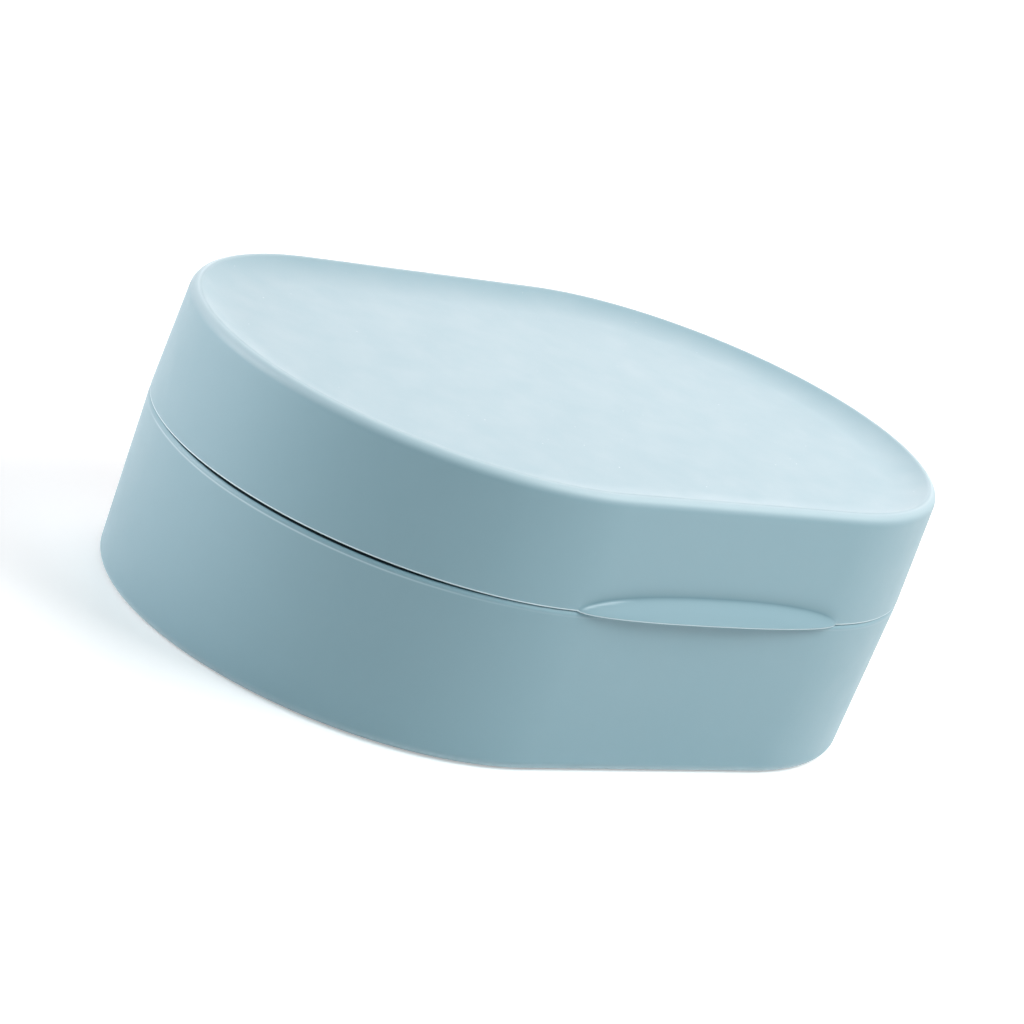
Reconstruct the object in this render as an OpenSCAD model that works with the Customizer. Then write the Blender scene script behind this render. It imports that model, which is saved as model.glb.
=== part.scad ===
// Travel soap box: a stadium-shaped plastic case with a hinged lid, a pull lip at the front,
// a silicone seal inside the lid and a slotted tray that stands inside the base.
// X runs along the length, -Y is the front with the pull lip, +Y is the hinge side, Z is up.
// The origin is at the middle of the face that the box stands on.

/* [Body] */
// Overall length of the two shells
box_len = 125; // [112:1:150]
// Overall width of the two shells, and twice the radius of the round ends
box_w = 80; // [74:1:96]
// Overall height with the lid shut
box_h = 41.6; // [38:0.1:52]
// Height of the shoulder on which the lid closes
seam_z = 24.3; // [20:0.1:26]
// Open line between the two shells at the seam
seam_gap = 0.4; // [0.2:0.05:0.6]
// How much narrower the base is at its foot than at the seam, on each side
base_draft = 0.65; // [0.2:0.05:1.2]
// How much narrower the lid is at its top than at the seam, on each side
lid_draft = 0.5; // [0.3:0.05:1.4]
// Thickness of the side walls
wall = 2.4; // [2.2:0.1:3]
// Thickness of the base floor
floor_t = 2; // [1.6:0.1:3]
// Radius of the base's lower outside edge
foot_round = 1.5; // [0.8:0.1:2]
// Radius between the floor and the walls inside the base
cavity_round = 4; // [2:0.5:5]
// Height of the foot band under the floor
foot_h = 0.8; // [0.4:0.1:1.2]
// Width of the foot band
foot_w = 6; // [4:0.5:9]

/* [Lid top] */
// Thickness of the lid's top panel
panel_t = 2.2; // [1.6:0.1:2.6]
// Depth of the panel below the rim
panel_drop = 1.8; // [1.2:0.1:2.4]
// Radius of the rim's outer edge
rim_round = 1; // [0.6:0.1:1.2]
// Flat width on top of the rim
rim_flat = 0.7; // [0.4:0.1:1.2]
// Radius of the rim's inner edge
rim_inner_round = 0.6; // [0.3:0.1:0.7]
// Radius of the hollow sweep from the rim down to the panel
dish_round = 4.6; // [2.5:0.1:5]
// Radius between the panel and the walls inside the lid
ceiling_round = 3; // [1.5:0.5:4]

/* [Seam] */
// Thickness of the base's upstanding lip
lip_t = 1.1; // [0.9:0.05:1.2]
// Height of the lip above the shoulder
lip_h = 2.6; // [2:0.1:3.4]
// Gap between the lip and the skirt of the lid
lip_gap = 0.25; // [0.15:0.05:0.35]
// Radius of the small edges at the seam
edge_round = 0.2; // [0.1:0.05:0.25]

/* [Seal] */
// Height of the silicone ring's section
seal_h = 1.1; // [0.8:0.1:1.6]
// Width of the silicone ring's section
seal_w = 1.2; // [0.9:0.1:1.3]
// Gap between the ring and the lip below it with the lid just shut
seal_gap = 0.3; // [0.2:0.05:0.4]
// Gap between the ring and the skirt beside it
seal_fit = 0.05; // [0.02:0.01:0.1]

/* [Pull lip] */
// Length of the pull lip along the front
tab_len = 51; // [30:1:56]
// Height of the pull lip above the seam
tab_h = 3; // [2:0.1:4.5]
// How far the pull lip stands out from the wall
tab_out = 1.7; // [0.8:0.1:2.5]
// How far the pull lip hangs below the lid's edge
tab_dip = 0.5; // [0:0.05:0.5]
// Thickness of the pull lip's lower edge
tab_edge = 0.3; // [0.2:0.05:0.5]
// Bluntness of the pull lip's ends, where 2 is half an ellipse
tab_fullness = 2.4; // [2:0.1:3]

/* [Catch] */
// Length of the snap bead on the lip at the front
bead_len = 24; // [12:1:36]
// Height of the bead above the shoulder
bead_z = 1.5; // [1.3:0.1:1.7]
// Radius of the bead's round face
bead_r = 0.5; // [0.35:0.05:0.6]
// Gap around the bead in the lid's groove, and between the bead and the skirt that passes it
bead_gap = 0.05; // [0.03:0.01:0.08]
// Depth of the groove for the bead in the skirt
groove_depth = 0.25; // [0.15:0.05:0.3]

/* [Hinge] */
// Diameter of the steel pin
pin_d = 1.4; // [1:0.1:1.6]
// Outer diameter of the knuckles
knuckle_d = 3; // [2.8:0.1:3.2]
// Distance of the pin's axis behind the back wall
pin_back = 0.15; // [0.1:0.05:0.4]
// Length of the lid's middle knuckle
lid_knuckle_len = 16; // [10:1:20]
// Length of each of the base's two knuckles
base_knuckle_len = 9; // [5:0.5:11]
// Gap between neighbouring knuckles
knuckle_gap = 0.3; // [0.2:0.05:0.5]
// Radial gap round the knuckles in the other shell
swing_gap = 0.3; // [0.2:0.05:0.4]
// Radial running gap of the lid's knuckle on the pin
pin_run = 0.05; // [0.03:0.01:0.08]
// Radial gap of the pin in the base's knuckles
pin_seat = 0.02; // [0.01:0.01:0.03]
// How far the pin ends inside the outer knuckles
pin_recess = 0.5; // [0:0.1:1]
// Height of the webs that carry the knuckles, from the pin's axis
web_h = 4.2; // [3:0.1:5]

/* [Drain tray] */
// Thickness of the tray's plate
tray_t = 1.6; // [1.2:0.1:2.4]
// Height of the space under the tray
drain_h = 5.4; // [4.5:0.1:7]
// Gap between the tray's edge and the base's wall
tray_gap = 1; // [0.4:0.1:1.4]
// Height of the tray's raised edge above its plate
tray_rim_h = 1.4; // [0.8:0.1:2]
// Width of the tray's raised edge
tray_rim_w = 1.6; // [1.2:0.1:2.4]
// Width of the drain slots
slot_w = 3; // [2:0.1:3.6]
// Distance from slot to slot
slot_pitch = 8; // [6.5:0.5:12]
// Plain band between the slots' ends and the tray's legs
slot_land = 1.2; // [0.8:0.1:3]
// Width of the ribs between the slots
rib_w = 1.6; // [1.2:0.1:2.2]
// Height of the ribs above the plate
rib_h = 1.2; // [0.6:0.1:1.8]
// Diameter of the tray's legs
leg_d = 4; // [3:0.5:6]
// Gap between the legs and the round foot of the cavity wall
leg_gap = 0.3; // [0.2:0.1:0.8]
// Radius of the finger notches at the tray's ends
finger_r = 8; // [6:0.5:10]

/* [Hidden] */

$fn = 96;
// Straight length between the centres of the two round ends
straight = box_len - box_w;
// Radius of the round ends at the seam
end_r = box_w / 2;
// Segments of a rounded corner in a section
arc_n = 6;
// Overlap that fuses one feature into another
bite = 0.4;

// Heights of the base
floor_z = foot_h + floor_t;
lip_top = seam_z + lip_h;
// Heights of the lid
lid_z = seam_z + seam_gap;
rebate_z = lip_top + seal_gap + seal_h;
panel_z = box_h - panel_drop;
ceiling_z = panel_z - panel_t;
// Radii at the seam
lip_out_r = end_r - wall + lip_t;
skirt_in_r = lip_out_r + lip_gap;

// Place of the hinge pin
axis_y = end_r + pin_back;
axis_z = seam_z + seam_gap / 2;
knuckle_r = knuckle_d / 2;
base_knuckle_x = lid_knuckle_len / 2 + knuckle_gap;
hinge_len = 2 * (base_knuckle_x + base_knuckle_len);
swing_r = knuckle_r + swing_gap;

// Place of the tray
tray_z = floor_z + drain_h;
tray_top = tray_z + tray_t;
tray_r = cavity_r(tray_z) - tray_gap;
leg_r = cavity_r(floor_z) - cavity_round - leg_d / 2 - leg_gap;
slot_r = leg_r - leg_d / 2 - slot_land;
slot_n = floor((straight / 2 + slot_r - slot_w) / slot_pitch);

// Outer radius of the base wall, of the base cavity and of the lid wall at height z
function base_r(z) = end_r - base_draft * (seam_z - z) / seam_z;
function cavity_r(z) = base_r(z) - wall;
function lid_r(z) = end_r - lid_draft * (z - lid_z) / (box_h - lid_z);

// Half the width of a stadium with end radius r, at distance x from its middle
function half_width(x, r) =
    abs(x) <= straight / 2 ? r : sqrt(max(0, r * r - pow(abs(x) - straight / 2, 2)));

function unit(v) = v / norm(v);

// Points of the arc of radius r that rounds the corner q between its neighbours p and s
function round_corner(p, q, s, r) =
    let (
        a = unit(p - q),
        b = unit(s - q),
        half = acos(a * b) / 2,
        centre = q + unit(a + b) * r / sin(half),
        from = q + a * r / tan(half) - centre,
        start = atan2(from[1], from[0]),
        turn = (180 - 2 * half) * sign(cross(b, a))
    )
    [for (i = [0:arc_n]) centre + r * [cos(start + turn * i / arc_n), sin(start + turn * i / arc_n)]];

// Outline from points [x, y, r], with every corner that has a radius r rounded
function rounded(pts) =
    let (n = len(pts), at = [for (p = pts) [p[0], p[1]]])
    [for (i = [0:n - 1])
        each pts[i][2] > 0
            ? round_corner(at[(i + n - 1) % n], at[i], at[(i + 1) % n], pts[i][2])
            : [at[i]]];

// Carries a section, drawn as distance from the centre line and height, round the stadium
module around(section) {
    for (side = [0, 180])
        rotate([0, 0, side]) {
            translate([-straight / 2, 0, 0])
                rotate([90, 0, 90])
                    linear_extrude(straight)
                        polygon(section);
            translate([straight / 2, 0, 0])
                rotate([0, 0, -90])
                    rotate_extrude(angle = 180)
                        polygon(section);
        }
}

// Cylinder along X from x0 to x1 on the hinge axis
module on_axis(r, x0, x1) {
    translate([x0, axis_y, axis_z])
        rotate([0, 90, 0])
            cylinder(r = r, h = x1 - x0);
}

// Web between a knuckle and its shell. up is 1 on the lid and -1 on the base, and wall_y is
// the wall's outer face at the web's far end
module web(x0, x1, up, wall_y) {
    reach = [wall_y - axis_y, web_h];
    lean = atan2(reach[1], reach[0]) - acos(knuckle_r / norm(reach));
    section = [
        [0, 0],
        knuckle_r * [cos(lean), sin(lean)],
        reach,
        reach - [bite, 0],
        [-pin_back - bite, bite]
    ];
    translate([x0, axis_y, axis_z])
        rotate([90, 0, 90])
            linear_extrude(x1 - x0)
                polygon([for (p = section) [p[0], up * p[1]]]);
}

// The base's section: foot band, drafted wall, shoulder, lip and floor
base_section = rounded([
    [0, foot_h, 0],
    [base_r(0) - foot_round - foot_w - foot_h, foot_h, 0],
    [base_r(0) - foot_round - foot_w, 0, 0],
    [base_r(0), 0, foot_round],
    [base_r(seam_z), seam_z, edge_round],
    [lip_out_r, seam_z, 0],
    [lip_out_r, lip_top, edge_round],
    [cavity_r(seam_z), lip_top, edge_round],
    [cavity_r(seam_z), seam_z, 0],
    [cavity_r(floor_z), floor_z, cavity_round],
    [0, floor_z, 0]
]);

// The lid's section: skirt, rebate for the seal, drafted wall, rim and sunken panel
rim_in_r = lid_r(box_h) - rim_round - rim_flat - rim_inner_round / 2;
lid_section = rounded([
    [0, panel_z, 0],
    [rim_in_r - panel_drop, panel_z, dish_round],
    [rim_in_r, box_h, rim_inner_round],
    [lid_r(box_h), box_h, rim_round],
    [lid_r(lid_z), lid_z, edge_round],
    [skirt_in_r, lid_z, edge_round],
    [skirt_in_r, rebate_z, 0],
    [lid_r(rebate_z) - wall, rebate_z, 0],
    [lid_r(ceiling_z) - wall, ceiling_z, ceiling_round],
    [0, ceiling_z, 0]
]);

module base_shell() {
    color([0.55, 0.68, 0.72])
    difference() {
        union() {
            around(base_section);
            for (x0 = [base_knuckle_x, -hinge_len / 2]) {
                on_axis(knuckle_r, x0, x0 + base_knuckle_len);
                web(x0, x0 + base_knuckle_len, -1, base_r(axis_z - web_h));
            }
            snap_bead(lip_out_r + lip_gap - bead_gap);
        }
        on_axis(swing_r, -base_knuckle_x, base_knuckle_x);
        on_axis(pin_d / 2 + pin_seat, -hinge_len, hinge_len);
    }
}

// Round bead along the front whose face reaches out to the distance reach_r
module snap_bead(reach_r) {
    translate([-bead_len / 2, bead_r - reach_r, seam_z + bead_z])
        rotate([0, 90, 0])
            cylinder(r = bead_r, h = bead_len, $fn = 32);
}

// Groove in the skirt round the snap bead
module snap_groove() {
    groove_len = bead_len + 2 * bead_gap + groove_depth;
    translate([-groove_len / 2, bead_r - skirt_in_r - groove_depth, seam_z + bead_z])
        rotate([0, 90, 0])
            cylinder(r = bead_r + bead_gap, h = groove_len, $fn = 32);
}

// Pull lip: sections of one flare, from a crease on the wall down to a proud lower edge. Its
// height and depth follow half a blunt ellipse along the front. The flare starts a little inside
// the wall, and so do its tips
module pull_lip() {
    stations = 32;
    sink = 0.1;
    root_in = end_r - skirt_in_r - bite;
    function swell(i) = sqrt(1 - pow(abs(cos(180 * i / stations)), tab_fullness));
    function along(i) = -cos(180 * i / stations) * tab_len / 2;
    function on_wall(i, z, out) = [along(i), -half_width(along(i), lid_r(max(z, lid_z))) - out, z];
    function ring(i) =
        let (
            s = swell(i),
            top_z = lid_z + 2 * sink + tab_h * s,
            low = on_wall(i, lid_z + sink - (tab_dip + sink) * s, (tab_out + sink) * s - sink)
        )
        [
            on_wall(i, top_z, -root_in),
            on_wall(i, top_z, -sink),
            low,
            low + [0, tab_edge, 0],
            on_wall(i, lid_z + sink / 2, -root_in)
        ];
    points = [for (i = [0:stations]) each ring(i)];
    m = len(ring(0));
    sides = [for (i = [0:stations - 1]) for (k = [0:m - 1])
        let (a = i * m + k, b = i * m + (k + 1) % m)
        each [[a, b + m, b], [a, a + m, b + m]]];
    caps = [
        [for (k = [0:m - 1]) k],
        [for (k = [m - 1:-1:0]) stations * m + k]
    ];
    polyhedron(points, concat(sides, caps));
}

module lid_shell() {
    color([0.62, 0.74, 0.78])
    difference() {
        union() {
            around(lid_section);
            pull_lip();
            on_axis(knuckle_r, -lid_knuckle_len / 2, lid_knuckle_len / 2);
            web(-lid_knuckle_len / 2, lid_knuckle_len / 2, 1, lid_r(axis_z + web_h));
        }
        for (x0 = [lid_knuckle_len / 2, -hinge_len / 2 - knuckle_gap])
            on_axis(swing_r, x0, x0 + base_knuckle_len + 2 * knuckle_gap);
        on_axis(pin_d / 2 + pin_run, -hinge_len, hinge_len);
        snap_groove();
    }
}

module seal_ring() {
    out_r = skirt_in_r - seal_fit;
    color([0.9, 0.92, 0.92])
    around([
        [out_r - seal_w, rebate_z - seal_h],
        [out_r, rebate_z - seal_h],
        [out_r, rebate_z],
        [out_r - seal_w, rebate_z]
    ]);
}

// Upright slot or rib with round ends across the tray at distance x from the middle
module across(x, width, reach, z0, z1) {
    translate([x, 0, z0])
        linear_extrude(z1 - z0)
            union() {
                square([width, 2 * reach], center = true);
                for (y = [-reach, reach])
                    translate([0, y])
                        circle(d = width, $fn = 32);
            }
}

module drain_tray() {
    plate_section = rounded([
        [0, tray_z, 0],
        [tray_r, tray_z, edge_round],
        [tray_r, tray_top + tray_rim_h, edge_round],
        [tray_r - tray_rim_w, tray_top + tray_rim_h, edge_round],
        [tray_r - tray_rim_w, tray_top, edge_round],
        [0, tray_top, 0]
    ]);
    color([0.86, 0.89, 0.9])
    difference() {
        union() {
            around(plate_section);
            for (i = [-slot_n:slot_n - 1]) {
                x = (i + 0.5) * slot_pitch;
                across(x, rib_w, half_width(x, slot_r), tray_top - bite, tray_top + rib_h);
            }
            legs();
        }
        for (i = [-slot_n:slot_n])
            across(i * slot_pitch, slot_w, half_width(i * slot_pitch, slot_r) - slot_w / 2,
                tray_z - 1, tray_top + rib_h + 1);
        for (x = [-1, 1])
            translate([x * (straight / 2 + tray_r), 0, tray_z - 1])
                cylinder(r = finger_r, h = tray_t + tray_rim_h + 2);
    }
}

// Two legs at the middle of the long sides and four on the round ends
module legs() {
    spread = leg_r * cos(45);
    corners = [for (x = [-1, 1], y = [-1, 1]) [x * (straight / 2 + spread), y * spread]];
    for (p = concat([[0, leg_r], [0, -leg_r]], corners))
        translate([p[0], p[1], floor_z])
            cylinder(d = leg_d, h = drain_h + bite);
}

module hinge_pin() {
    color([0.75, 0.76, 0.78])
    on_axis(pin_d / 2, pin_recess - hinge_len / 2, hinge_len / 2 - pin_recess);
}

base_shell();
lid_shell();
seal_ring();
drain_tray();
hinge_pin();
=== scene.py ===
"""Looks of the travel soap box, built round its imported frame.

Lengths are named in millimetres and turned into metres where a mesh is made. X runs along the
length, -Y is the front with the pull lip, +Y is the hinge side, Z is up, and the box stands on
z = 0. The two shells, the seal and the tray are meshes made here in place of their CAD nodes.
"""
import math

import bmesh
import bpy
import numpy as np
from mathutils import Matrix, Vector


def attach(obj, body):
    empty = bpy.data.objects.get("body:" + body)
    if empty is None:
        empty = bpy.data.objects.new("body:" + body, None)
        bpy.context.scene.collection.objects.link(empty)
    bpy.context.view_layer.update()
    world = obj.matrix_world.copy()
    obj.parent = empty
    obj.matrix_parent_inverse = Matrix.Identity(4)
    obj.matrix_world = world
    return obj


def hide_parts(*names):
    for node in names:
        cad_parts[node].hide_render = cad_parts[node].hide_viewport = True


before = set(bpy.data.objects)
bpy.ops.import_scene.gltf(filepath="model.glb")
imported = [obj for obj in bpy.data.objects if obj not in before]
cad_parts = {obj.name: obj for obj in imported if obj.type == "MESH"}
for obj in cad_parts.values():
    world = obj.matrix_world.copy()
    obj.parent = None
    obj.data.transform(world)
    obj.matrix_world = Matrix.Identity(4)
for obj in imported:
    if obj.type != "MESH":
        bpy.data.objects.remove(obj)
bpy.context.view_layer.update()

MM = 0.001

# The two shells
END_R = 40.0
HALF_STRAIGHT = 22.5
BOX_H = 41.6
BASE_DRAFT = 0.65
LID_DRAFT = 0.5
WALL = 2.4
FLOOR_T = 2.0
FOOT_H = 0.8
FOOT_W = 6.0
FOOT_ROUND = 1.5
FOOT_IN_ROUND = 0.4
FOOT_FILLET = 0.5
CAVITY_ROUND = 4.0

# The seam. The lid is a little bowed, so its edge rises and the gap opens along the left end.
# A span names four places along the seam, as distances from the front's middle that grow
# towards the right: a change starts at the first, is whole from the second to the third and
# ends at the fourth
SEAM_Z = 24.3
LID_Z = 24.7
LID_RISE = 0.14
LID_RISE_SPAN = (-112, -96, -60, -8)
LID_SAG = 0.05
LID_SAG_SPAN = (-8, 24, 60, 110)
SEAM_GAP = 0.09
SEAM_GAPE = 0.32
GAPE_SPAN = (-102, -78, -58, -30)
SHOULDER_H = 0.72
SHOULDER_IN = 0.45
LEDGE_FILLET = 0.15
LIP_T = 1.1
LIP_H = 2.6
LIP_GAP = 0.25
LIP_ROUND = 0.3
SEAM_ROUND = 0.2
EDGE_UNDER = 0.5
REBATE_Z = 28.3
REBATE_FILLET = 0.1
REBATE_ROUND = 0.2

# The lid's top
PANEL_T = 2.2
PANEL_DROP = 1.8
RIM_ROUND = 1.3
RIM_ROUND_H = 1.5
RIM_FLAT = 0.2
RIM_INNER_ROUND = 1.0
DISH_W = 6.8
DISH_EASE = 2.2
CEILING_ROUND = 3.0

# The pull lip
TAB_HALF = 25.5
TAB_H = 3.0
TAB_OUT = 1.7
TAB_DIP = 0.5
TAB_TIP_H = 0.35
TAB_UNDER = 0.42
EDGE_FLAT = 0.26
TAB_FULLNESS = 2.4
CREASE_SOFT = 0.45
CREASE_SINK = 0.12
CREASE_SINK_REACH = 1.0

# Painted highlights on edges, painted shade along the crease and painted shade in the seam groove
LINE_W = 0.4
# Painted highlights: colour lightened on the lid's lower edge, the ledge's edge, the rim's round,
# the foot's round and the pull lip's tip
EDGE_PAINTED_HIGHLIGHT = 1.0
SHOULDER_PAINTED_HIGHLIGHT = 0.45
SHOULDER_HIGHLIGHT_SPAN = (-104, -96, -60, -30)
SHOULDER_HIGHLIGHT_LEAST = 0.1
RIM_PAINTED_HIGHLIGHT = 0.45
RIM_HIGHLIGHT_START = 0.02
RIM_HIGHLIGHT_FADE = 0.1
FOOT_PAINTED_HIGHLIGHT = 0.3
FOOT_HIGHLIGHT_TOP = 0.4
# Painted shade: colour darkened along the crease above the pull lip
CREASE_PAINTED_SHADE = 0.85
CREASE_SHADE_UP = 0.6
CREASE_SHADE_DOWN = 0.4
TIP_PAINTED_GLINT = 0.8
TIP_GLINT_DROP = 0.35
TIP_GLINT_SPAN = (-TAB_HALF, -24, -20, -15)
# Painted shade: colour darkened in the seam groove, more where the gap gapes
GROOVE_PAINTED_SHADE = 1.25
GAPE_PAINTED_SHADE = 0.7
GROOVE_SHADE_H = 0.2
GROOVE_SHADE_FULL_H = 0.1
GROOVE_SHADE_LOW = 0.08
GROOVE_SHARE_OF_SHOULDER = 0.8
WALL_SKIN = 0.45
SHOULDER_SKIN = 0.1
LIP_SKIN = 0.05
NEAR = 0.02

# The snap catch
BEAD_HALF = 12.0
BEAD_RUN_OUT = 1.5
BEAD_Z = 1.5
BEAD_HALF_H = 0.65
BEAD_OUT = 0.2
CATCH_BLUNT = 0.8
GROOVE_DEPTH = 0.3
GROOVE_PAST = 0.3
GROOVE_RUN_OUT = 1.0

# The seal
SEAL_H = 1.1
SEAL_W = 1.2
SEAL_FIT = 0.05
SEAL_LOW_ROUND = 0.35
SEAL_TOP_ROUND = 0.12

# The hinge
PIN_BACK = 0.15
KNUCKLE_R = 1.5
LID_KNUCKLE_LEN = 16.0
BASE_KNUCKLE_LEN = 9.0
KNUCKLE_GAP = 0.3
SWING_GAP = 0.3
PIN_R = 0.7
PIN_SEAT = 0.02
PIN_RUN = 0.05
WEB_H = 4.2
LEAF_ROUND = 0.25
LEAF_SINK = 0.04
LEAF_ROOT = 0.7
KNUCKLE_END_DEG = -195

# The drain tray
DRAIN_H = 5.4
TRAY_T = 1.6
TRAY_GAP = 1.0
TRAY_RIM_H = 1.4
TRAY_RIM_W = 1.6
TRAY_EASE = 0.35
SLOT_W = 3.0
SLOT_PITCH = 8.0
SLOT_LAND = 1.2
SLOT_EASE = 0.4
BAR_W = 1.6
BAR_H = 1.2
BAR_ROUND = 0.6
LEG_D = 4.0
LEG_GAP = 0.3
LEG_EASE = 0.4
FINGER_R = 8.0

# How closely the meshes are divided, how far in their flat middles start, and how far a
# cutter reaches past what it cuts
HOLD = 0.35
SHOULDER_ROWS = 8
CATCH_ROWS = 9
DISH_ROWS = 17
RIM_ROWS = 12
LEAF_ROWS = 40
LEAF_ROUND_ROWS = 3
TAB_PLACES = 121
END_PLACES = 131
BACK_PLACES = 25
CREASE_ROWS = (3.2, 2.6, 2.0, 1.5, 1.1, 0.8, 0.55, 0.35, 0.2, 0.08)
FLARE_ROWS = (0.0, 0.04, 0.09, 0.15, 0.23, 0.34, 0.5, 0.75)
UNDERSIDE_CAP_IN = 3.0
PANEL_CAP_IN = 0.5
INSIDE_CAP_IN = 1.5
TRAY_CAP_R = 10.0
CUT_PAST = 1.0

LIP_OUT_R = END_R - WALL + LIP_T
SKIRT_R = LIP_OUT_R + LIP_GAP
LIP_TOP = SEAM_Z + LIP_H
FLOOR_Z = FOOT_H + FLOOR_T
PANEL_Z = BOX_H - PANEL_DROP
CEILING_Z = PANEL_Z - PANEL_T
AXIS_Y = END_R + PIN_BACK
AXIS_Z = (SEAM_Z + LID_Z) / 2
HALF_LOOP = 2 * HALF_STRAIGHT + math.pi * END_R


def base_r(z):
    return END_R - BASE_DRAFT * (SEAM_Z - z) / SEAM_Z


def cavity_r(z):
    return base_r(z) - WALL


TRAY_Z = FLOOR_Z + DRAIN_H
TRAY_TOP = TRAY_Z + TRAY_T
TRAY_RIM_TOP = TRAY_TOP + TRAY_RIM_H
TRAY_R = cavity_r(TRAY_Z) - TRAY_GAP
LEG_AT = cavity_r(FLOOR_Z) - CAVITY_ROUND - LEG_D / 2 - LEG_GAP
SLOT_R = LEG_AT - LEG_D / 2 - SLOT_LAND
SLOT_N = math.floor((HALF_STRAIGHT + SLOT_R - SLOT_W) / SLOT_PITCH)


def lid_r(z):
    return END_R - LID_DRAFT * (z - LID_Z) / (BOX_H - LID_Z)


def ramp(s, a, b):
    """Smooth step from 0 at a to 1 at b."""
    t = min(max((s - a) / (b - a), 0.0), 1.0)
    return t * t * (3 - 2 * t)


def within(s, span):
    """1 inside the span, fading to 0 at its ends."""
    start, full, still_full, end = span
    return ramp(s, start, full) * (1 - ramp(s, still_full, end))


def lid_edge(s):
    """Height of the lid's lower edge at distance s along the seam from the front's middle."""
    return LID_Z + LID_RISE * within(s, LID_RISE_SPAN) - LID_SAG * within(s, LID_SAG_SPAN)


def base_edge(s):
    """Height of the base's ledge there, just under the lid."""
    return lid_edge(s) - SEAM_GAP - SEAM_GAPE * within(s, GAPE_SPAN)


def tab_share(s):
    """How far out the pull lip stands at s, from 0 at its tips to 1 in the middle."""
    u = min(abs(s) / TAB_HALF, 1.0)
    return math.sqrt(max(0.0, 1 - u ** TAB_FULLNESS))


def tab_crease(s):
    """Height of the crease where the pull lip leaves the wall."""
    return lid_edge(s) + math.hypot(TAB_TIP_H, TAB_H * tab_share(s))


def tab_low(s):
    """Height of the pull lip's lower edge, which is the lid's edge beyond its tips."""
    return lid_edge(s) - TAB_DIP * tab_share(s)


# Sections

def corner_arc(p, q, n, radius, steps):
    """Points of the arc that rounds the corner q between its neighbours p and n."""
    a = (p - q) / np.linalg.norm(p - q)
    b = (n - q) / np.linalg.norm(n - q)
    half = math.acos(max(-1.0, min(1.0, float(a @ b)))) / 2
    middle = q + (a + b) / np.linalg.norm(a + b) * radius / math.sin(half)
    first = q + a * radius / math.tan(half) - middle
    start = math.atan2(first[1], first[0])
    turn = (math.pi - 2 * half) * (1 if b[0] * a[1] - b[1] * a[0] > 0 else -1)
    angles = start + turn * np.arange(steps + 1) / steps
    return [middle + radius * np.array([math.cos(t), math.sin(t)]) for t in angles]


def outline(corners, closed=False):
    """Section from corners (r, z, radius, steps), with rows beside long flats so they shade flat.

    A corner with steps 0 stays sharp. A fifth value, True, says that the flat after it is long.
    """
    at = [np.array(c[:2], float) for c in corners]
    n = len(corners)
    rows = []
    for i, c in enumerate(corners):
        inner = closed or 0 < i < n - 1
        if c[3] and inner:
            rows.append(corner_arc(at[i - 1], at[i], at[(i + 1) % n], c[2], c[3]))
        else:
            rows.append([at[i]])
    points = []
    for i, arc in enumerate(rows):
        points += arc
        if len(corners[i]) > 4:
            a, b = arc[-1], rows[(i + 1) % n][0]
            along = (b - a) / np.linalg.norm(b - a) * HOLD
            points += [a + along, b - along]
    return points


def catch_rows(radius, depth):
    """Rows up an upright face at the radius that bulge outwards by the depth, for the catch."""
    rows = []
    for k in range(CATCH_ROWS):
        t = 2 * k / (CATCH_ROWS - 1) - 1
        out = depth * math.cos(t * math.pi / 2) ** CATCH_BLUNT if abs(t) < 1 else 0.0
        rows.append((radius + out, SEAM_Z + BEAD_Z + BEAD_HALF_H * t, 0, 0))
    return rows


def base_section(s):
    edge = base_edge(s)
    foot_r = base_r(0) - FOOT_ROUND - FOOT_W
    under_leaf = AXIS_Z - WEB_H - HOLD
    bead = BEAD_OUT * ramp(abs(s), BEAD_HALF, BEAD_HALF - BEAD_RUN_OUT)
    shoulder = [(base_r(edge - SHOULDER_H), edge - SHOULDER_H - LINE_W / 2, 0, 0)]
    for k in range(SHOULDER_ROWS + 1):
        turn = math.pi / 2 * k / SHOULDER_ROWS
        r = base_r(edge - SHOULDER_H) - SHOULDER_IN * (1 - math.cos(turn))
        shoulder.append((r, edge - SHOULDER_H * (1 - math.sin(turn)), 0, 0))
    return outline([
        (foot_r - UNDERSIDE_CAP_IN, FOOT_H, 0, 0),
        (foot_r - FOOT_H, FOOT_H, FOOT_FILLET, 4),
        (foot_r, 0, FOOT_IN_ROUND, 4, True),
        (base_r(0), 0, FOOT_ROUND, 10, True),
        (base_r(under_leaf), under_leaf, 0, 0, True),
        *shoulder,
        (LIP_OUT_R, edge, LEDGE_FILLET, 3),
        *catch_rows(LIP_OUT_R, bead),
        (LIP_OUT_R, LIP_TOP, LIP_ROUND, 4),
        (cavity_r(SEAM_Z), LIP_TOP, LIP_ROUND, 4, True),
        (cavity_r(SEAM_Z), SEAM_Z, 0, 0, True),
        (cavity_r(FLOOR_Z), FLOOR_Z, CAVITY_ROUND, 12),
        (cavity_r(FLOOR_Z) - CAVITY_ROUND - INSIDE_CAP_IN, FLOOR_Z, 0, 0),
    ])


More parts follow.
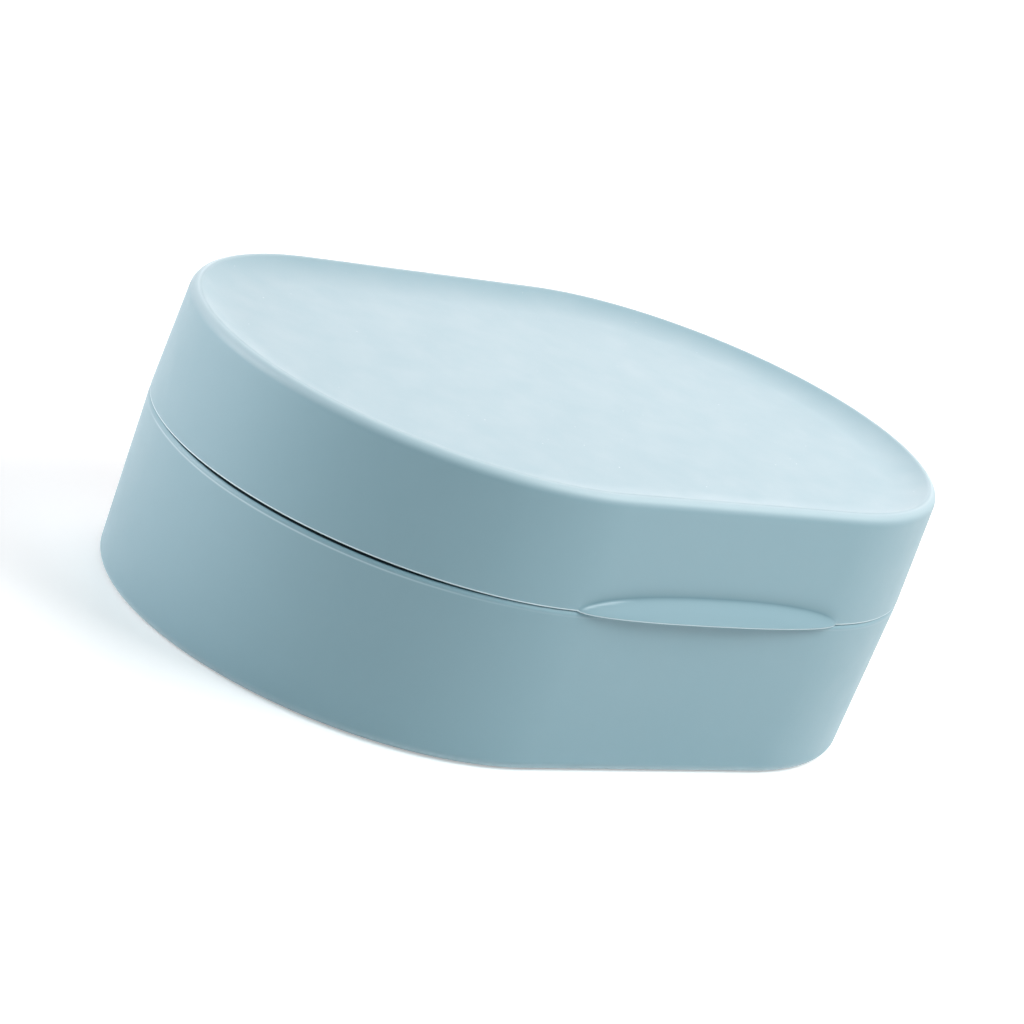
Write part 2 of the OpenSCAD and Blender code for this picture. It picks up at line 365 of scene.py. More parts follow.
def lid_section(s):
    edge = lid_edge(s)
    share = tab_share(s)
    crease = tab_crease(s)
    low = tab_low(s)
    above_edge = low + EDGE_FLAT
    slope = TAB_OUT * share / (crease - low)

    def wall_point(z):
        d = crease - z
        if d <= -CREASE_SOFT:
            out = 0.0
        elif d >= CREASE_SOFT:
            out = slope * d
        else:
            out = slope * (d + CREASE_SOFT) ** 2 / (4 * CREASE_SOFT)
        sink = CREASE_SINK * share * math.exp(-(d / CREASE_SINK_REACH) ** 2)
        return (lid_r(z) + out - sink, z, 0, 0)

    over_leaf = max(AXIS_Z + WEB_H, crease + CREASE_ROWS[0]) + HOLD
    wall = [wall_point(over_leaf)] + [wall_point(crease + h) for h in CREASE_ROWS]
    wall += [wall_point(crease - (crease - above_edge) * f) for f in FLARE_ROWS]
    rim_in = lid_r(BOX_H) - RIM_ROUND - RIM_FLAT
    dish = []
    for k in range(1, DISH_ROWS):
        far = 1 - k / DISH_ROWS
        dish.append((rim_in - DISH_W * far, PANEL_Z + PANEL_DROP * (1 - far) ** DISH_EASE, 0, 0))
    rim = []
    for k in range(RIM_ROWS + 1):
        turn = math.pi / 2 * k / RIM_ROWS
        z = BOX_H - RIM_ROUND_H * (1 - math.cos(turn))
        rim.append((lid_r(z) - RIM_ROUND * (1 - math.sin(turn)), z, 0, 0))
    rim.append((lid_r(z - HOLD), z - HOLD, 0, 0))
    low_r = lid_r(low) + TAB_OUT * share
    groove = GROOVE_DEPTH * ramp(abs(s), BEAD_HALF + GROOVE_PAST, BEAD_HALF - GROOVE_RUN_OUT)
    return outline([
        (rim_in - DISH_W - PANEL_CAP_IN, PANEL_Z, 0, 0),
        (rim_in - DISH_W, PANEL_Z, 0, 0),
        *dish,
        (rim_in, BOX_H, RIM_INNER_ROUND, 6),
        *rim,
        *wall,
        (low_r, low, SEAM_ROUND, 6),
        (low_r - TAB_UNDER, low, 0, 0),
        (lid_r(edge) - EDGE_UNDER, edge, 0, 0),
        (SKIRT_R, edge, SEAM_ROUND, 3),
        *catch_rows(SKIRT_R, groove),
        (SKIRT_R, REBATE_Z, REBATE_FILLET, 2),
        (lid_r(REBATE_Z) - WALL, REBATE_Z, REBATE_ROUND, 3, True),
        (lid_r(CEILING_Z) - WALL, CEILING_Z, CEILING_ROUND, 10),
        (lid_r(CEILING_Z) - WALL - CEILING_ROUND - INSIDE_CAP_IN, CEILING_Z, 0, 0),
    ])


# Meshes

def seam_places():
    """Distances along the seam from the front's middle, closest together at the lip's tips."""
    tab = -TAB_HALF * np.cos(np.linspace(0, math.pi, TAB_PLACES))
    ends = np.linspace(TAB_HALF, HALF_STRAIGHT + math.pi * END_R, END_PLACES)[1:]
    back = np.linspace(HALF_STRAIGHT + math.pi * END_R, HALF_LOOP, BACK_PLACES)[1:]
    half = np.concatenate([ends, back])
    return np.concatenate([-half[-2::-1], tab, half])


def ring_of(s, section):
    """The section's points, in metres, at distance s along the seam."""
    side = math.copysign(1, s)
    past = abs(s) - HALF_STRAIGHT
    if past <= 0:
        cx, dx, dy = s, 0.0, -1.0
    elif past <= math.pi * END_R:
        turn = past / END_R
        cx, dx, dy = side * HALF_STRAIGHT, side * math.sin(turn), -math.cos(turn)
    else:
        cx, dx, dy = side * (HALF_STRAIGHT - (past - math.pi * END_R)), 0.0, 1.0
    return [((cx + r * dx) * MM, r * dy * MM, z * MM) for r, z in section]


def swept(name, section, closed=False):
    """Object whose section, a function of the distance along the seam, goes round the stadium."""
    places = seam_places()
    rings = [ring_of(s, section(s)) for s in places]
    n, m = len(rings), len(rings[0])
    verts = [p for ring in rings for p in ring]
    rows = m if closed else m - 1
    faces = []
    for i in range(n):
        a, b = i * m, (i + 1) % n * m
        for k in range(rows):
            j = (k + 1) % m
            faces.append((a + k, b + k, b + j, a + j))
    if not closed:
        faces.append([i * m for i in range(n)][::-1])
        faces.append([i * m + m - 1 for i in range(n)])
    return mesh_object(name, verts, faces)


def capped(name, verts, n):
    """Closed object from rings of n points each, one after the other, with flat ends."""
    last = len(verts) // n - 1
    faces = [list(range(n))[::-1], list(range(last * n, (last + 1) * n))]
    for i in range(last):
        for k in range(n):
            j = (k + 1) % n
            faces.append((i * n + k, i * n + j, (i + 1) * n + j, (i + 1) * n + k))
    return mesh_object(name, verts, faces)


def mesh_object(name, verts, faces):
    """Object with the mesh, its faces turned outwards, in the scene."""
    mesh = bpy.data.meshes.new(name)
    mesh.from_pydata(verts, [], faces)
    bm = bmesh.new()
    bm.from_mesh(mesh)
    bmesh.ops.recalc_face_normals(bm, faces=bm.faces)
    bm.to_mesh(mesh)
    bm.free()
    piece = bpy.data.objects.new(name, mesh)
    bpy.context.scene.collection.objects.link(piece)
    return piece


def paint_light_and_shade(piece, painted_light_at):
    """Gives the mesh its tone of painted light and shade, from -2 for painted shade in the seam
    groove through -1 for painted shade on the crease to 1 for a painted highlight on an edge.
    painted_light_at is a function of the distance along the seam, the distance from the middle line
    and the height. The hinge keeps the plain tone."""
    tone = piece.data.attributes.new("tone", "FLOAT", "POINT")
    for i, v in enumerate(piece.data.vertices):
        x, y, z = (c / MM for c in v.co)
        side = math.copysign(1, x)
        past = max(abs(x) - HALF_STRAIGHT, 0.0)
        turn = math.atan2(past, -y)
        if past == 0 and y > 0:
            s = side * (HALF_LOOP - abs(x))
        elif past == 0:
            s = x
        else:
            s = side * (HALF_STRAIGHT + turn * END_R)
        at_hinge = (y > 0 and abs(z - AXIS_Z) < 2 * WEB_H
                    and abs(x) < LID_KNUCKLE_LEN / 2 + BASE_KNUCKLE_LEN + 2 * KNUCKLE_GAP)
        tone.data[i].value = 0.0 if at_hinge else painted_light_at(s, math.hypot(past, y), z)


# Painted shade in the seam groove, deeper where the gap gapes
def groove_painted_shade(s):
    return -GROOVE_PAINTED_SHADE - GAPE_PAINTED_SHADE * within(s, GAPE_SPAN)


def lid_painted_light(s, r, z):
    # Painted highlight on the rim's outer round
    if r > lid_r(BOX_H) - RIM_ROUND and z > BOX_H - RIM_ROUND_H:
        from_top = (BOX_H - z) / RIM_ROUND_H
        start = min(1.0, from_top / RIM_HIGHLIGHT_START)
        return RIM_PAINTED_HIGHLIGHT * start * (1 - ramp(from_top, RIM_HIGHLIGHT_FADE, 1.0))
    # Painted shade on the lid's underside in the seam groove
    if r < lid_r(z) - WALL_SKIN:
        return groove_painted_shade(s) if z < lid_edge(s) + NEAR else 0.0
    # Painted highlight on the lower edge of the lid and the pull lip
    if z < tab_low(s) + SEAM_ROUND + NEAR / 2:
        return EDGE_PAINTED_HIGHLIGHT
    # Painted shade along the crease above the pull lip, with a painted glint just below it near the
    # lip's left tip
    above = z - tab_crease(s)
    crease_shade = math.exp(-abs(above) / (CREASE_SHADE_UP if above > 0 else CREASE_SHADE_DOWN))
    glint = TIP_PAINTED_GLINT * within(s, TIP_GLINT_SPAN)
    glint *= math.exp(-((above + TIP_GLINT_DROP) / TIP_GLINT_DROP * 2) ** 2)
    return glint - CREASE_PAINTED_SHADE * min(1.0, 2 * tab_share(s)) * crease_shade


def base_painted_light(s, r, z):
    edge = base_edge(s)
    shoulder = edge - SHOULDER_H
    ledge_end = base_r(shoulder) - GROOVE_SHARE_OF_SHOULDER * SHOULDER_IN
    # Painted shade on the ledge and the lip in the seam groove
    if LIP_OUT_R - LIP_SKIN < r < ledge_end and z > edge - GROOVE_SHADE_LOW:
        return groove_painted_shade(s) * ramp(z, edge + GROOVE_SHADE_H, edge + GROOVE_SHADE_FULL_H)
    # Painted highlight on the foot's round, standing in for light from the floor
    if z < FOOT_ROUND and r > base_r(0) - FOOT_ROUND:
        return FOOT_PAINTED_HIGHLIGHT * ramp(z, FOOT_ROUND, FOOT_HIGHLIGHT_TOP * FOOT_ROUND)
    # Painted highlight along the ledge's outer edge
    if r < base_r(shoulder) - SHOULDER_SKIN or abs(z - shoulder) > LINE_W / 3:
        return 0.0
    return SHOULDER_PAINTED_HIGHLIGHT * within(s, SHOULDER_HIGHLIGHT_SPAN) + SHOULDER_HIGHLIGHT_LEAST


def smooth(piece, angle=32):
    """Smooth shading in which the large faces stay flat, with sharp edges above the angle."""
    piece.data.shade_smooth()
    piece.data.set_sharp_from_angle(angle=math.radians(angle))
    piece.modifiers.new("normals", "WEIGHTED_NORMAL").keep_sharp = True
    applied(piece)


def cylinder_x(name, radius, x0, x1, y, z, chamfer=0.0, sides=96):
    """Closed turned piece along X, in mm."""
    stops = [(x0, radius - chamfer), (x1, radius - chamfer)]
    if chamfer:
        stops = [stops[0], (x0 + chamfer, radius), (x1 - chamfer, radius), stops[1]]
    verts = []
    for x, r in stops:
        for k in range(sides):
            t = 2 * math.pi * k / sides
            verts.append((x * MM, (y + r * math.cos(t)) * MM, (z + r * math.sin(t)) * MM))
    return capped(name, verts, sides)


def hinge_leaf(x0, x1, up, wall_y):
    """Knuckle and web in one, from x0 to x1. up is 1 on the lid and -1 on the base."""
    reach = np.array([wall_y - LEAF_SINK - AXIS_Y, WEB_H])
    lean = math.atan2(reach[1], reach[0]) - math.acos(KNUCKLE_R / np.linalg.norm(reach))
    inner = math.radians(KNUCKLE_END_DEG)
    arc = [lean + (inner - lean) * k / LEAF_ROWS for k in range(LEAF_ROWS + 1)]
    flat = [np.array([-PIN_BACK - LEAF_ROOT, WEB_H]), reach]
    flat += [KNUCKLE_R * np.array([math.cos(t), math.sin(t)]) for t in arc]
    n = len(flat)
    ins = []
    for i in range(n):
        d0 = flat[i] - flat[i - 1]
        d1 = flat[(i + 1) % n] - flat[i]
        normal = np.array([-d0[1], d0[0]]) / np.linalg.norm(d0)
        normal = normal + np.array([-d1[1], d1[0]]) / np.linalg.norm(d1)
        ins.append(-normal / np.linalg.norm(normal))
    stops = []
    for k in range(LEAF_ROUND_ROWS + 1):
        t = math.pi / 2 * k / LEAF_ROUND_ROWS
        stops.append((x0 + LEAF_ROUND * (1 - math.sin(t)), LEAF_ROUND * (1 - math.cos(t))))
    rings = stops[::-1] + [(x0 + x1 - x, inset) for x, inset in stops]
    rings.sort()
    verts = []
    for x, inset in rings:
        for p, away in zip(flat, ins):
            q = p + away * inset
            verts.append((x * MM, (AXIS_Y + q[0]) * MM, (AXIS_Z + up * q[1]) * MM))
    return capped("hinge_leaf", verts, n)


def applied(piece):
    """Turns the piece's modifiers into mesh."""
    bpy.context.view_layer.update()
    evaluated = piece.evaluated_get(bpy.context.evaluated_depsgraph_get())
    mesh = bpy.data.meshes.new_from_object(evaluated)
    piece.modifiers.clear()
    old = piece.data
    piece.data = mesh
    bpy.data.meshes.remove(old)


def combine(piece, operation, tools):
    """Applies boolean modifiers and removes the tools."""
    for tool in tools:
        cut = piece.modifiers.new(operation.lower(), "BOOLEAN")
        cut.operation = operation
        cut.solver = "EXACT"
        cut.object = tool
        applied(piece)
        bpy.data.objects.remove(tool)


def base_shell():
    piece = swept("base_case", base_section)
    first = LID_KNUCKLE_LEN / 2 + KNUCKLE_GAP
    last = first + BASE_KNUCKLE_LEN
    wall_y = base_r(AXIS_Z - WEB_H)
    leaves = [hinge_leaf(first, last, -1, wall_y), hinge_leaf(-last, -first, -1, wall_y)]
    combine(piece, "UNION", leaves)
    combine(piece, "DIFFERENCE", [
        cylinder_x("swing", KNUCKLE_R + SWING_GAP, -first, first, AXIS_Y, AXIS_Z),
        cylinder_x("bore", PIN_R + PIN_SEAT, -last - CUT_PAST, last + CUT_PAST, AXIS_Y, AXIS_Z,
                   sides=48),
    ])
    paint_light_and_shade(piece, base_painted_light)
    smooth(piece)
    return piece


def lid_shell():
    piece = swept("lid_case", lid_section)
    half = LID_KNUCKLE_LEN / 2
    combine(piece, "UNION", [hinge_leaf(-half, half, 1, lid_r(AXIS_Z + WEB_H))])
    reach = BASE_KNUCKLE_LEN + 2 * KNUCKLE_GAP
    combine(piece, "DIFFERENCE", [
        cylinder_x("swing", KNUCKLE_R + SWING_GAP, half, half + reach, AXIS_Y, AXIS_Z),
        cylinder_x("swing", KNUCKLE_R + SWING_GAP, -half - reach, -half, AXIS_Y, AXIS_Z),
        cylinder_x("bore", PIN_R + PIN_RUN, -half - CUT_PAST, half + CUT_PAST, AXIS_Y, AXIS_Z,
                   sides=48),
    ])
    paint_light_and_shade(piece, lid_painted_light)
    smooth(piece)
    return piece


def seal_ring():
    out_r = SKIRT_R - SEAL_FIT
    low = REBATE_Z - SEAL_H

    def section(_):
        return outline([
            (out_r - SEAL_W, low, SEAL_LOW_ROUND, 5),
            (out_r, low, SEAL_LOW_ROUND, 5),
            (out_r, REBATE_Z, SEAL_TOP_ROUND, 3),
            (out_r - SEAL_W, REBATE_Z, SEAL_TOP_ROUND, 3),
        ], closed=True)

    piece = swept("seal_band", section, closed=True)
    smooth(piece, angle=50)
    return piece


def steep_first(z, rise, start, out, steps=5):
    """Levels (height, offset) of a quarter round that leaves z straight up and ends sideways."""
    turns = [math.pi / 2 * k / steps for k in range(steps + 1)]
    return [(z + rise * math.sin(t), start + out * (1 - math.cos(t))) for t in turns]


def flat_first(z, rise, start, out, steps=5):
    """Levels (height, offset) of a quarter round that leaves z sideways and ends straight up."""
    turns = [math.pi / 2 * k / steps for k in range(steps + 1)]
    return [(z + rise * (1 - math.cos(t)), start + out * math.sin(t)) for t in turns]


def upright(name, x, y, half_len, levels, sides=48):
    """Closed upright piece with a capsule as its plan, half_len each way along Y plus the
    offset of each level (height, offset) all round."""
    turns = [2 * math.pi * k / sides for k in range(sides)]
    ends = [math.copysign(half_len, math.sin(t + math.pi / sides)) for t in turns]
    verts = []
    for z, out in levels:
        for t, end in zip(turns, ends):
            a = t + math.pi / sides
            verts.append(((x + out * math.cos(a)) * MM, (y + end + out * math.sin(a)) * MM, z * MM))
    return capped(name, verts, sides)


def joined(pieces):
    """One object from several that don't touch each other."""
    merged = bmesh.new()
    for piece in pieces:
        merged.from_mesh(piece.data)
    merged.to_mesh(pieces[0].data)
    merged.free()
    for piece in pieces[1:]:
        bpy.data.objects.remove(piece)
    return pieces[0]


def bar_reach(x, radius):
    """Half the width at x of a stadium with the box's straights and the given end radius."""
    past = max(abs(x) - HALF_STRAIGHT, 0.0)
    return math.sqrt(max(0.0, radius ** 2 - past ** 2))


def tray_section(_):
    inside = TRAY_R - TRAY_RIM_W
    return outline([
        (TRAY_CAP_R, TRAY_Z, 0, 0, True),
        (TRAY_R, TRAY_Z, TRAY_EASE, 4, True),
        (TRAY_R, TRAY_RIM_TOP, TRAY_EASE, 5),
        (inside, TRAY_RIM_TOP, TRAY_EASE, 5),
        (inside, TRAY_TOP, TRAY_EASE, 4, True),
        (TRAY_CAP_R, TRAY_TOP, 0, 0),
    ])


def bar(x):
    half = BAR_W / 2
    top = TRAY_TOP + BAR_H
    levels = [(TRAY_TOP - SLOT_EASE, half + SLOT_EASE)]
    levels += flat_first(TRAY_TOP, SLOT_EASE, half + SLOT_EASE, -SLOT_EASE)
    levels += steep_first(top - BAR_ROUND, BAR_ROUND, half, -BAR_ROUND)
    return upright("bar", x, 0, bar_reach(x, SLOT_R), levels)


def slot(x):
    half = SLOT_W / 2
    levels = [(TRAY_Z - CUT_PAST, half + SLOT_EASE)]
    levels += flat_first(TRAY_Z, SLOT_EASE, half + SLOT_EASE, -SLOT_EASE)
    levels += steep_first(TRAY_TOP - SLOT_EASE, SLOT_EASE, half, SLOT_EASE)
    levels += [(TRAY_TOP + BAR_H + CUT_PAST, half + SLOT_EASE)]
    return upright("slot", x, 0, bar_reach(x, SLOT_R) - half, levels)


def leg(x, y):
    radius = LEG_D / 2
    levels = flat_first(FLOOR_Z, LEG_EASE, radius - LEG_EASE, LEG_EASE)
    levels += steep_first(TRAY_Z - LEG_EASE, LEG_EASE, radius, LEG_EASE)
    levels += [(TRAY_Z + LEG_EASE, radius + LEG_EASE)]
    return upright("leg", x, y, 0, levels)


def finger_notch(x):
    levels = [(TRAY_Z - CUT_PAST, FINGER_R + TRAY_EASE)]
    levels += flat_first(TRAY_Z, TRAY_EASE, FINGER_R + TRAY_EASE, -TRAY_EASE)
    levels += steep_first(TRAY_TOP - TRAY_EASE, TRAY_EASE, FINGER_R, TRAY_EASE)
    levels += steep_first(TRAY_RIM_TOP - TRAY_EASE, TRAY_EASE, FINGER_R + TRAY_EASE, TRAY_EASE)
    levels += [(TRAY_RIM_TOP + CUT_PAST, FINGER_R + 2 * TRAY_EASE)]
    return upright("notch", x, 0, 0, levels, sides=96)


def drain_tray():
    piece = swept("tray_plate", tray_section)
    slots = [slot(i * SLOT_PITCH) for i in range(-SLOT_N, SLOT_N + 1)]
    bars = [bar((i + 0.5) * SLOT_PITCH) for i in range(-SLOT_N, SLOT_N)]
    side = LEG_AT * math.cos(math.pi / 4)
    corners = [(x * (HALF_STRAIGHT + side), y * side) for x in (-1, 1) for y in (-1, 1)]
    legs = [leg(x, y) for x, y in [(0, LEG_AT), (0, -LEG_AT)] + corners]
    notches = [finger_notch(x * (HALF_STRAIGHT + TRAY_R)) for x in (-1, 1)]
    combine(piece, "UNION", [joined(bars + legs)])
    combine(piece, "DIFFERENCE", [joined(slots + notches)])
    smooth(piece)
    return piece


# Materials

class Nodes:
    """Short hand for the node tree of one material."""

    def __init__(self, name):
        self.material = bpy.data.materials.new(name)
        self.material.use_nodes = True
        self.tree = self.material.node_tree
        self.bsdf = self.tree.nodes["Principled BSDF"]
        self.place = self.add("ShaderNodeTexCoord").outputs["Object"]

    def add(self, kind, inputs=None, **settings):
        node = self.tree.nodes.new(kind)
        for key, value in settings.items():
            setattr(node, key, value)
        for key, value in (inputs or {}).items():
            self.put(value, node.inputs[key])
        return node

    def put(self, value, socket):
        if isinstance(value, bpy.types.NodeSocket):
            self.tree.links.new(value, socket)
        else:
            socket.default_value = value

    def noise(self, scale, detail=2.0, roughness=0.5):
        """Noise with so many bumps a metre, from 0 to 1."""
        return self.add("ShaderNodeTexNoise", {
            "Vector": self.place, "Scale": scale, "Detail": detail, "Roughness": roughness,
        }).outputs["Fac"]

    def spread(self, value, low, high, to_low=0.0, to_high=1.0):
        """The value stretched from low to high onto to_low to to_high."""
        return self.add("ShaderNodeMapRange", {
            "Value": value, "From Min": low, "From Max": high, "To Min": to_low, "To Max": to_high,
        }).outputs["Result"]

    def mix(self, share, a, b):
        """Colour a with its share of colour b. Sockets 6 and 7 are the node's colours."""
        node = self.add("ShaderNodeMix", data_type="RGBA")
        self.put(share, node.inputs[0])
        self.put(a, node.inputs[6])
        self.put(b, node.inputs[7])
        return node.outputs[2]

    def math(self, operation, a, b=0.0):
        node = self.add("ShaderNodeMath", operation=operation)
        self.put(a, node.inputs[0])
        self.put(b, node.inputs[1])
        return node.outputs[0]

    def bump(self, height, depth_mm, strength=1.0, after=None):
        inputs = {"Height": height, "Distance": depth_mm * MM, "Strength": strength}
        if after is not None:
            inputs["Normal"] = after
        return self.add("ShaderNodeBump", inputs).outputs["Normal"]


def srgb(r, g, b):
    """Linear colour of an sRGB one given as 0 to 255."""
    def linear(v):
        v /= 255
        return v / 12.92 if v <= 0.04045 else ((v + 0.055) / 1.055) ** 2.4
    return (linear(r), linear(g), linear(b), 1.0)


SHELL_TONES = (srgb(148, 180, 191), srgb(146, 179, 190))
TRAY_TONES = (srgb(215, 223, 226), srgb(210, 219, 222))
SEAL_TONES = (srgb(238, 241, 241), srgb(226, 232, 233))
STEEL_TONES = (srgb(196, 197, 200), srgb(220, 221, 223))
DUST_TONE = srgb(240, 244, 246)
# Colours for the painted highlight, the painted shade and the deeper painted shade that the mesh's
# tone mixes in
PAINTED_HIGHLIGHT_TONE = srgb(226, 242, 248)
PAINTED_SHADE_TONE = srgb(104, 140, 152)
PAINTED_DEEP_SHADE_TONE = srgb(38, 54, 61)
# Noise as its scale, detail and roughness, and the range in which most of it lies
CLOUD = (28, 3, 0.55)
FLOW = (55, 2, 0.5)
GRAIN = (3800, 2, 0.6)
PATCHES = (140, 2, 0.6)
WEAR = (240, 3, 0.6)
SILICONE_CLOUD = (60, 2)
SILICONE_WEAR = (400, 2)
SILICONE_GRAIN = (1800, 2)
STREAKS = (20.0, 4000.0, 4000.0)
MIDDLE = (0.3, 0.7)
UPWARD = (0.8, 0.97)
SPECK_SCALE = 620.0
SPECK_EDGE = (0.09, 0.03)
PATCH_EDGE = (0.56, 0.66)
PLASTIC_IOR = 1.49
PLASTIC_ROUGH = (-0.03, 0.04)
SILICONE_ROUGH = (0.5, 0.62)
SILICONE_SCATTER = 0.15
SILICONE_REACH = 1.0
STEEL_ROUGH = (0.24, 0.36)
# Depths of the relief
FLOW_DEPTH = 0.02
GRAIN_DEPTH = 0.006
SILICONE_DEPTH = 0.008
STREAK_DEPTH = 0.004


def moulded_plastic(name, tones, dust_and_painted_light=0.0, rough=0.46):
    """Satin plastic: cloudy tone, fine spark-eroded grain and faint sink. When the speck amount is
    not zero there are also a few pale specks on top, and the painted highlights and painted shade
    that the mesh's tone holds."""
    n = Nodes(name)
    cloud = n.spread(n.noise(*CLOUD), *MIDDLE)
    tone = n.mix(cloud, *tones)
    grain = n.noise(*GRAIN)
    flow = n.noise(*FLOW)
    if dust_and_painted_light:
        facing = n.add("ShaderNodeSeparateXYZ", {
            "Vector": n.add("ShaderNodeTexCoord").outputs["Normal"],
        }).outputs["Z"]
        upward = n.spread(facing, *UPWARD)
        cells = n.add("ShaderNodeTexVoronoi", {
            "Vector": n.place, "Scale": SPECK_SCALE, "Randomness": 1.0,
        }).outputs["Distance"]
        speck = n.spread(cells, *SPECK_EDGE)
        patch = n.spread(n.noise(*PATCHES), *PATCH_EDGE)
        specks = n.math("MULTIPLY", n.math("MULTIPLY", speck, patch), upward)
        tone = n.mix(n.math("MULTIPLY", specks, dust_and_painted_light), tone, DUST_TONE)
        # Painted highlights and painted shade, from the mesh's tone
        painted_amount = n.add("ShaderNodeAttribute", attribute_name="tone").outputs["Fac"]
        tone = n.mix(n.spread(painted_amount, 0.0, 1.0), tone, PAINTED_HIGHLIGHT_TONE)
        tone = n.mix(n.spread(painted_amount, 0.0, -1.0), tone, PAINTED_SHADE_TONE)
        tone = n.mix(n.spread(painted_amount, -1.0, -2.0), tone, PAINTED_DEEP_SHADE_TONE)
    n.put(tone, n.bsdf.inputs["Base Color"])
    rougher = n.spread(n.noise(*WEAR), *MIDDLE, *(rough + more for more in PLASTIC_ROUGH))
    n.put(rougher, n.bsdf.inputs["Roughness"])
    n.bsdf.inputs["IOR"].default_value = PLASTIC_IOR
    relief = n.bump(flow, FLOW_DEPTH, strength=0.5)
    relief = n.bump(grain, GRAIN_DEPTH, strength=0.6, after=relief)
    n.put(relief, n.bsdf.inputs["Normal"])
    return n.material


def silicone():
    n = Nodes("seal_silicone")
    cloud = n.spread(n.noise(*SILICONE_CLOUD), *MIDDLE)
    n.put(n.mix(cloud, *SEAL_TONES), n.bsdf.inputs["Base Color"])
    rougher = n.spread(n.noise(*SILICONE_WEAR), *MIDDLE, *SILICONE_ROUGH)
    n.put(rougher, n.bsdf.inputs["Roughness"])
    relief = n.bump(n.noise(*SILICONE_GRAIN), SILICONE_DEPTH, strength=0.5)
    n.put(relief, n.bsdf.inputs["Normal"])
    n.bsdf.inputs["Subsurface Weight"].default_value = SILICONE_SCATTER
    n.bsdf.inputs["Subsurface Radius"].default_value = [SILICONE_REACH * MM] * 3
    return n.material


def drawn_steel():
    n = Nodes("pin_steel")
    lines = n.add("ShaderNodeMapping", {"Vector": n.place, "Scale": STREAKS})
    streaks = n.add("ShaderNodeTexNoise", {"Vector": lines.outputs[0], "Scale": 1.0})
    n.put(n.mix(streaks.outputs["Fac"], *STEEL_TONES), n.bsdf.inputs["Base Color"])
    n.bsdf.inputs["Metallic"].default_value = 1.0
    rougher = n.spread(streaks.outputs["Fac"], *MIDDLE, *STEEL_ROUGH)
    n.put(rougher, n.bsdf.inputs["Roughness"])
    relief = n.bump(streaks.outputs["Fac"], STREAK_DEPTH, strength=0.5)
    n.put(relief, n.bsdf.inputs["Normal"])
    return n.material


def dress(piece, material, slot, body, *nodes):
    """Gives the piece its material. With nodes it rides the body and stands for those nodes."""
    piece.data.materials.clear()
    piece.data.materials.append(material)
    if nodes:
        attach(piece, body)
        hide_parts(*nodes)


# Camera, floor and light

CAMERA_AZIMUTH = 45.83
CAMERA_ELEVATION = 17.32
CAMERA_ROLL = 21.33
CAMERA_DISTANCE = 550.86
CAMERA_TARGET = (-1.5, 1.51, 19.94)
FRAME_PX = 1024
FOCAL_PX = 3810.1
SENSOR_MM = 36.0
SOFTBOX_SIZE = 500.0
SOFTBOX_DISTANCE = 800.0
# Name, bearing from the camera, height angle, watts and tint
SOFTBOXES = (
    ("front", 0, 50, 1.35, (0.62, 0.92, 1.0)),
    ("right", 90, 50, 5.5, (1.0, 1.0, 0.99)),
    ("back_low", 180, 15, 1.4, (1.0, 0.84, 0.81)),
    ("back_high", 180, 50, 2.3, (1.0, 0.84, 0.81)),
    ("left", 275, 15, 4.6, (1.0, 0.955, 0.965)),
)
CLIP_M = (0.01, 20)
# The floor glows for the camera alone, more with the distance in metres from the box
FLOOR_HALF = 6000.0
FLOOR_GAP = 0.1
FLOOR_TONE = 0.85
FLOOR_GLOW = 0.38
FAR_GLOW = 1.0
FAR_FLOOR_M = (0.3, 1.0)
FLOOR_SHEEN = 0.5


def set_camera():
    az, el, roll = (math.radians(v) for v in (CAMERA_AZIMUTH, CAMERA_ELEVATION, CAMERA_ROLL))
    ahead = Vector((math.sin(az) * math.cos(el), math.cos(az) * math.cos(el), -math.sin(el)))
    level = ahead.cross(Vector((0, 0, 1))).normalized()
    over = level.cross(ahead)
    right = level * math.cos(roll) + over * math.sin(roll)
    up = right.cross(ahead)
    data = bpy.data.cameras.new("camera")
    data.sensor_width = SENSOR_MM
    data.lens = FOCAL_PX / FRAME_PX * SENSOR_MM
    data.clip_start, data.clip_end = CLIP_M
    camera = bpy.data.objects.new("camera", data)
    bpy.context.scene.collection.objects.link(camera)
    place = (Vector(CAMERA_TARGET) - ahead * CAMERA_DISTANCE) * MM
    turn = Matrix((right, up, -ahead)).transposed().to_4x4()
    camera.matrix_world = Matrix.Translation(place) @ turn
    bpy.context.scene.camera = camera


def seen_level(tree, to_camera, to_gloss):
    """Socket with the level that the camera sees, or that reflections and clear parts see.
    to_camera may be a socket too."""
    path = tree.nodes.new("ShaderNodeLightPath")
    level = None
    for name, share in (("Is Camera Ray", to_camera), ("Is Glossy Ray", to_gloss),
                        ("Is Transmission Ray", to_gloss)):
        part = tree.nodes.new("ShaderNodeMath")
        part.operation = "MULTIPLY"
        if isinstance(share, bpy.types.NodeSocket):
            tree.links.new(share, part.inputs[1])
        else:
            part.inputs[1].default_value = share
        tree.links.new(path.outputs[name], part.inputs[0])
        if level is None:
            level = part.outputs[0]
            continue
        either = tree.nodes.new("ShaderNodeMath")
        either.operation = "MAXIMUM"
        tree.links.new(level, either.inputs[0])
        tree.links.new(part.outputs[0], either.inputs[1])
        level = either.outputs[0]
    return level


